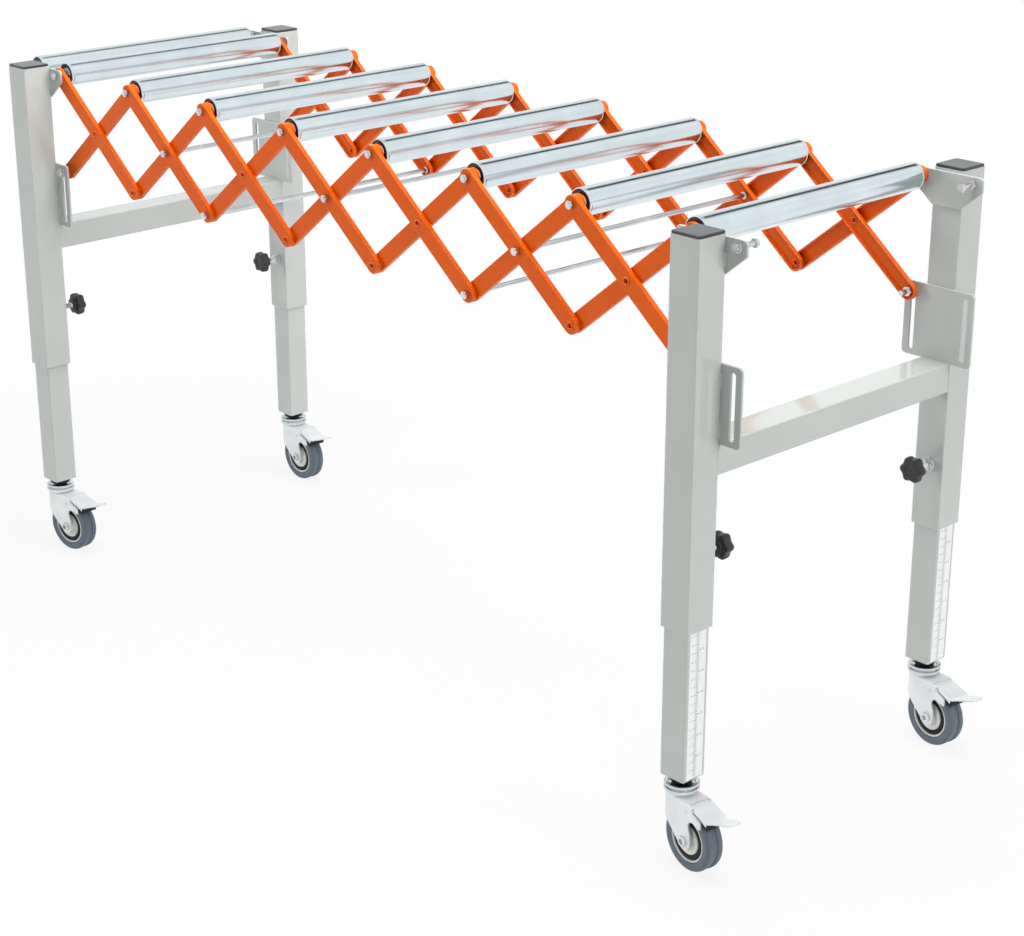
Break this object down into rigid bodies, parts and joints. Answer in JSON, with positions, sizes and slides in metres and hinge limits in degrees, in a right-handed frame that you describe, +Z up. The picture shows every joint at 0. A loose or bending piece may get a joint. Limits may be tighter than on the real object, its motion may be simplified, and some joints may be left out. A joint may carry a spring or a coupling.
{
  "type": "extendable roller conveyor",
  "caption": "Extendable gravity roller conveyor: two wheeled square-tube end frames with telescopic legs, joined by an orange scissor linkage that carries steel rollers.",
  "frame": {"origin": "on the floor under the middle of the whole object", "axes": "+X along the conveyor from the rear frame to the front frame with the height scales, +Y across it to the far side, +Z up"},
  "size_m": [1.392, 0.4774, 0.7165],
  "materials": {
    "grey_powder_coat": "glossy light grey powder coat on steel tube",
    "orange_powder_coat": "glossy orange powder coat on pressed steel",
    "zinc_roller": "bright zinc plated steel tube",
    "zinc_caster": "bright zinc plated pressed steel",
    "black_plastic": "moulded black plastic",
    "grey_tyre": "blue-grey rubber tyre on a plastic hub"
  },
  "bodies": {
    "rear_frame": {"rear_frame": "grey_powder_coat", "tube_cap_rear_near": "black_plastic", "tube_cap_rear_far": "black_plastic"},
    "falling_0": {"falling_link_near_0": "orange_powder_coat", "falling_link_far_0": "orange_powder_coat"},
    "rising_0": {"rising_link_near_0": "orange_powder_coat", "rising_link_far_0": "orange_powder_coat"},
    "falling_1": {"falling_link_near_1": "orange_powder_coat", "falling_link_far_1": "orange_powder_coat"},
    "rising_1": {"rising_links_tied_1": "orange_powder_coat"},
    "falling_2": {"falling_link_near_2": "orange_powder_coat", "falling_link_far_2": "orange_powder_coat"},
    "rising_2": {"rising_link_near_2": "orange_powder_coat", "rising_link_far_2": "orange_powder_coat"},
    "falling_3": {"falling_link_near_3": "orange_powder_coat", "falling_link_far_3": "orange_powder_coat"},
    "rising_3": {"rising_links_tied_3": "orange_powder_coat"},
    "falling_4": {"falling_link_near_4": "orange_powder_coat", "falling_link_far_4": "orange_powder_coat"},
    "rising_4": {"rising_link_near_4": "orange_powder_coat", "rising_link_far_4": "orange_powder_coat"},
    "falling_5": {"falling_link_near_5": "orange_powder_coat", "falling_link_far_5": "orange_powder_coat"},
    "rising_5": {"rising_links_tied_5": "orange_powder_coat"},
    "falling_6": {"falling_link_near_6": "orange_powder_coat", "falling_link_far_6": "orange_powder_coat"},
    "rising_6": {"rising_link_near_6": "orange_powder_coat", "rising_link_far_6": "orange_powder_coat"},
    "front_frame": {"front_frame": "grey_powder_coat", "tube_cap_front_near": "black_plastic", "tube_cap_front_far": "black_plastic"},
    "roller_0": {"roller_0": "zinc_roller"},
    "roller_1": {"roller_1": "zinc_roller"},
    "roller_2": {"roller_2": "zinc_roller"},
    "roller_3": {"roller_3": "zinc_roller"},
    "roller_4": {"roller_4": "zinc_roller"},
    "roller_5": {"roller_5": "zinc_roller"},
    "roller_6": {"roller_6": "zinc_roller"},
    "roller_7": {"roller_7": "zinc_roller"},
    "roller_8": {"roller_8": "zinc_roller"},
    "leg_rear_near": {"leg_rear_near": "grey_powder_coat"},
    "knob_rear_near": {"knob_rear_near": "black_plastic"},
    "fork_rear_near": {"caster_fork_rear_near": "zinc_caster"},
    "wheel_rear_near": {"wheel_rear_near": "grey_tyre"},
    "pedal_rear_near": {"brake_pedal_rear_near": "zinc_caster"},
    "leg_rear_far": {"leg_rear_far": "grey_powder_coat"},
    "knob_rear_far": {"knob_rear_far": "black_plastic"},
    "fork_rear_far": {"caster_fork_rear_far": "zinc_caster"},
    "wheel_rear_far": {"wheel_rear_far": "grey_tyre"},
    "pedal_rear_far": {"brake_pedal_rear_far": "zinc_caster"},
    "leg_front_near": {"leg_front_near": "grey_powder_coat"},
    "knob_front_near": {"knob_front_near": "black_plastic"},
    "fork_front_near": {"caster_fork_front_near": "zinc_caster"},
    "wheel_front_near": {"wheel_front_near": "grey_tyre"},
    "pedal_front_near": {"brake_pedal_front_near": "zinc_caster"},
    "leg_front_far": {"leg_front_far": "grey_powder_coat"},
    "knob_front_far": {"knob_front_far": "black_plastic"},
    "fork_front_far": {"caster_fork_front_far": "zinc_caster"},
    "wheel_front_far": {"wheel_front_far": "grey_tyre"},
    "pedal_front_far": {"brake_pedal_front_far": "zinc_caster"}
  },
  "joints": [
    {"name": "fold", "type": "hinge", "parent": "rear_frame", "child": "falling_0", "pos_m": [-0.60805, 0.00174, 0.7005], "axis": [0, 1, 0], "range_deg": [0, 31]},
    {"name": "crossing_0", "type": "hinge", "parent": "falling_0", "child": "rising_0", "pos_m": [-0.52405, 0.00174, 0.633], "axis": [0, 1, 0], "range_deg": [-62, 0]},
    {"name": "upper_pivot_1", "type": "hinge", "parent": "rising_0", "child": "falling_1", "pos_m": [-0.44005, 0.00174, 0.7005], "axis": [0, 1, 0], "range_deg": [0, 62]},
    {"name": "crossing_1", "type": "hinge", "parent": "falling_1", "child": "rising_1", "pos_m": [-0.35605, 0.00174, 0.633], "axis": [0, 1, 0], "range_deg": [-62, 0]},
    {"name": "upper_pivot_2", "type": "hinge", "parent": "rising_1", "child": "falling_2", "pos_m": [-0.27205, 0.00174, 0.7005], "axis": [0, 1, 0], "range_deg": [0, 62]},
    {"name": "crossing_2", "type": "hinge", "parent": "falling_2", "child": "rising_2", "pos_m": [-0.18805, 0.00174, 0.633], "axis": [0, 1, 0], "range_deg": [-62, 0]},
    {"name": "upper_pivot_3", "type": "hinge", "parent": "rising_2", "child": "falling_3", "pos_m": [-0.10405, 0.00174, 0.7005], "axis": [0, 1, 0], "range_deg": [0, 62]},
    {"name": "crossing_3", "type": "hinge", "parent": "falling_3", "child": "rising_3", "pos_m": [-0.02005, 0.00174, 0.633], "axis": [0, 1, 0], "range_deg": [-62, 0]},
    {"name": "upper_pivot_4", "type": "hinge", "parent": "rising_3", "child": "falling_4", "pos_m": [0.06395, 0.00174, 0.7005], "axis": [0, 1, 0], "range_deg": [0, 62]},
    {"name": "crossing_4", "type": "hinge", "parent": "falling_4", "child": "rising_4", "pos_m": [0.14795, 0.00174, 0.633], "axis": [0, 1, 0], "range_deg": [-62, 0]},
    {"name": "upper_pivot_5", "type": "hinge", "parent": "rising_4", "child": "falling_5", "pos_m": [0.23195, 0.00174, 0.7005], "axis": [0, 1, 0], "range_deg": [0, 62]},
    {"name": "crossing_5", "type": "hinge", "parent": "falling_5", "child": "rising_5", "pos_m": [0.31595, 0.00174, 0.633], "axis": [0, 1, 0], "range_deg": [-62, 0]},
    {"name": "upper_pivot_6", "type": "hinge", "parent": "rising_5", "child": "falling_6", "pos_m": [0.39995, 0.00174, 0.7005], "axis": [0, 1, 0], "range_deg": [0, 62]},
    {"name": "crossing_6", "type": "hinge", "parent": "falling_6", "child": "rising_6", "pos_m": [0.48395, 0.00174, 0.633], "axis": [0, 1, 0], "range_deg": [-62, 0]},
    {"name": "front_pivot", "type": "hinge", "parent": "rising_6", "child": "front_frame", "pos_m": [0.56795, 0.00174, 0.7005], "axis": [0, 1, 0], "range_deg": [0, 31]},
    {"name": "roller_0_spin", "type": "hinge", "parent": "rear_frame", "child": "roller_0", "pos_m": [-0.68005, 0.00174, 0.7005], "axis": [0, 1, 0], "continuous": true},
    {"name": "roller_1_spin", "type": "hinge", "parent": "falling_0", "child": "roller_1", "pos_m": [-0.60805, 0.00174, 0.7005], "axis": [0, 1, 0], "continuous": true},
    {"name": "roller_2_spin", "type": "hinge", "parent": "falling_1", "child": "roller_2", "pos_m": [-0.44005, 0.00174, 0.7005], "axis": [0, 1, 0], "continuous": true},
    {"name": "roller_3_spin", "type": "hinge", "parent": "falling_2", "child": "roller_3", "pos_m": [-0.27205, 0.00174, 0.7005], "axis": [0, 1, 0], "continuous": true},
    {"name": "roller_4_spin", "type": "hinge", "parent": "falling_3", "child": "roller_4", "pos_m": [-0.10405, 0.00174, 0.7005], "axis": [0, 1, 0], "continuous": true},
    {"name": "roller_5_spin", "type": "hinge", "parent": "falling_4", "child": "roller_5", "pos_m": [0.06395, 0.00174, 0.7005], "axis": [0, 1, 0], "continuous": true},
    {"name": "roller_6_spin", "type": "hinge", "parent": "falling_5", "child": "roller_6", "pos_m": [0.23195, 0.00174, 0.7005], "axis": [0, 1, 0], "continuous": true},
    {"name": "roller_7_spin", "type": "hinge", "parent": "falling_6", "child": "roller_7", "pos_m": [0.39995, 0.00174, 0.7005], "axis": [0, 1, 0], "continuous": true},
    {"name": "roller_8_spin", "type": "hinge", "parent": "rising_6", "child": "roller_8", "pos_m": [0.56795, 0.00174, 0.7005], "axis": [0, 1, 0], "continuous": true},
    {"name": "leg_rear_near_height", "type": "slide", "parent": "rear_frame", "child": "leg_rear_near", "axis": [0, 0, 1], "range_m": [-0.14, 0.15]},
    {"name": "knob_rear_near_turn", "type": "hinge", "parent": "rear_frame", "child": "knob_rear_near", "pos_m": [-0.64405, -0.19776, 0.361], "axis": [0, 1, 0], "range_deg": [0, 720]},
    {"name": "caster_rear_near_swivel", "type": "hinge", "parent": "leg_rear_near", "child": "fork_rear_near", "pos_m": [-0.64405, -0.21526, 0], "axis": [0, 0, 1], "continuous": true},
    {"name": "wheel_rear_near_spin", "type": "hinge", "parent": "fork_rear_near", "child": "wheel_rear_near", "pos_m": [-0.62034, -0.2115, 0.0375], "axis": [-0.1564, 0.9877, 0], "continuous": true},
    {"name": "pedal_rear_near_brake", "type": "hinge", "parent": "fork_rear_near", "child": "pedal_rear_near", "pos_m": [-0.60849, -0.20963, 0.0782], "axis": [-0.1564, 0.9877, 0], "range_deg": [-14, 0]},
    {"name": "leg_rear_far_height", "type": "slide", "parent": "rear_frame", "child": "leg_rear_far", "axis": [0, 0, 1], "range_m": [-0.14, 0.15]},
    {"name": "knob_rear_far_turn", "type": "hinge", "parent": "rear_frame", "child": "knob_rear_far", "pos_m": [-0.64405, 0.20124, 0.361], "axis": [0, -1, 0], "range_deg": [0, 720]},
    {"name": "caster_rear_far_swivel", "type": "hinge", "parent": "leg_rear_far", "child": "fork_rear_far", "pos_m": [-0.64405, 0.21874, 0], "axis": [0, 0, 1], "continuous": true},
    {"name": "wheel_rear_far_spin", "type": "hinge", "parent": "fork_rear_far", "child": "wheel_rear_far", "pos_m": [-0.62005, 0.21874, 0.0375], "axis": [0, 1, 0], "continuous": true},
    {"name": "pedal_rear_far_brake", "type": "hinge", "parent": "fork_rear_far", "child": "pedal_rear_far", "pos_m": [-0.60805, 0.21874, 0.0782], "axis": [0, 1, 0], "range_deg": [-14, 0]},
    {"name": "leg_front_near_height", "type": "slide", "parent": "front_frame", "child": "leg_front_near", "axis": [0, 0, 1], "range_m": [-0.14, 0.15]},
    {"name": "knob_front_near_turn", "type": "hinge", "parent": "front_frame", "child": "knob_front_near", "pos_m": [0.60395, -0.19776, 0.361], "axis": [0, 1, 0], "range_deg": [0, 720]},
    {"name": "caster_front_near_swivel", "type": "hinge", "parent": "leg_front_near", "child": "fork_front_near", "pos_m": [0.60395, -0.21526, 0], "axis": [0, 0, 1], "continuous": true},
    {"name": "wheel_front_near_spin", "type": "hinge", "parent": "fork_front_near", "child": "wheel_front_near", "pos_m": [0.62772, -0.2186, 0.0375], "axis": [0.1392, 0.9903, 0], "continuous": true},
    {"name": "pedal_front_near_brake", "type": "hinge", "parent": "fork_front_near", "child": "pedal_front_near", "pos_m": [0.6396, -0.22027, 0.0782], "axis": [0.1392, 0.9903, 0], "range_deg": [-14, 0]},
    {"name": "leg_front_far_height", "type": "slide", "parent": "front_frame", "child": "leg_front_far", "axis": [0, 0, 1], "range_m": [-0.14, 0.15]},
    {"name": "knob_front_far_turn", "type": "hinge", "parent": "front_frame", "child": "knob_front_far", "pos_m": [0.60395, 0.20124, 0.361], "axis": [0, -1, 0], "range_deg": [0, 720]},
    {"name": "caster_front_far_swivel", "type": "hinge", "parent": "leg_front_far", "child": "fork_front_far", "pos_m": [0.60395, 0.21874, 0], "axis": [0, 0, 1], "continuous": true},
    {"name": "wheel_front_far_spin", "type": "hinge", "parent": "fork_front_far", "child": "wheel_front_far", "pos_m": [0.62772, 0.2154, 0.0375], "axis": [0.1392, 0.9903, 0], "continuous": true},
    {"name": "pedal_front_far_brake", "type": "hinge", "parent": "fork_front_far", "child": "pedal_front_far", "pos_m": [0.6396, 0.21373, 0.0782], "axis": [0.1392, 0.9903, 0], "range_deg": [-14, 0]}
  ],
  "couplings": [
    {"joint": "crossing_0", "follows": "fold", "ratio": -2},
    {"joint": "upper_pivot_1", "follows": "fold", "ratio": 2},
    {"joint": "crossing_1", "follows": "fold", "ratio": -2},
    {"joint": "upper_pivot_2", "follows": "fold", "ratio": 2},
    {"joint": "crossing_2", "follows": "fold", "ratio": -2},
    {"joint": "upper_pivot_3", "follows": "fold", "ratio": 2},
    {"joint": "crossing_3", "follows": "fold", "ratio": -2},
    {"joint": "upper_pivot_4", "follows": "fold", "ratio": 2},
    {"joint": "crossing_4", "follows": "fold", "ratio": -2},
    {"joint": "upper_pivot_5", "follows": "fold", "ratio": 2},
    {"joint": "crossing_5", "follows": "fold", "ratio": -2},
    {"joint": "upper_pivot_6", "follows": "fold", "ratio": 2},
    {"joint": "crossing_6", "follows": "fold", "ratio": -2},
    {"joint": "front_pivot", "follows": "fold", "ratio": 1}
  ]
}
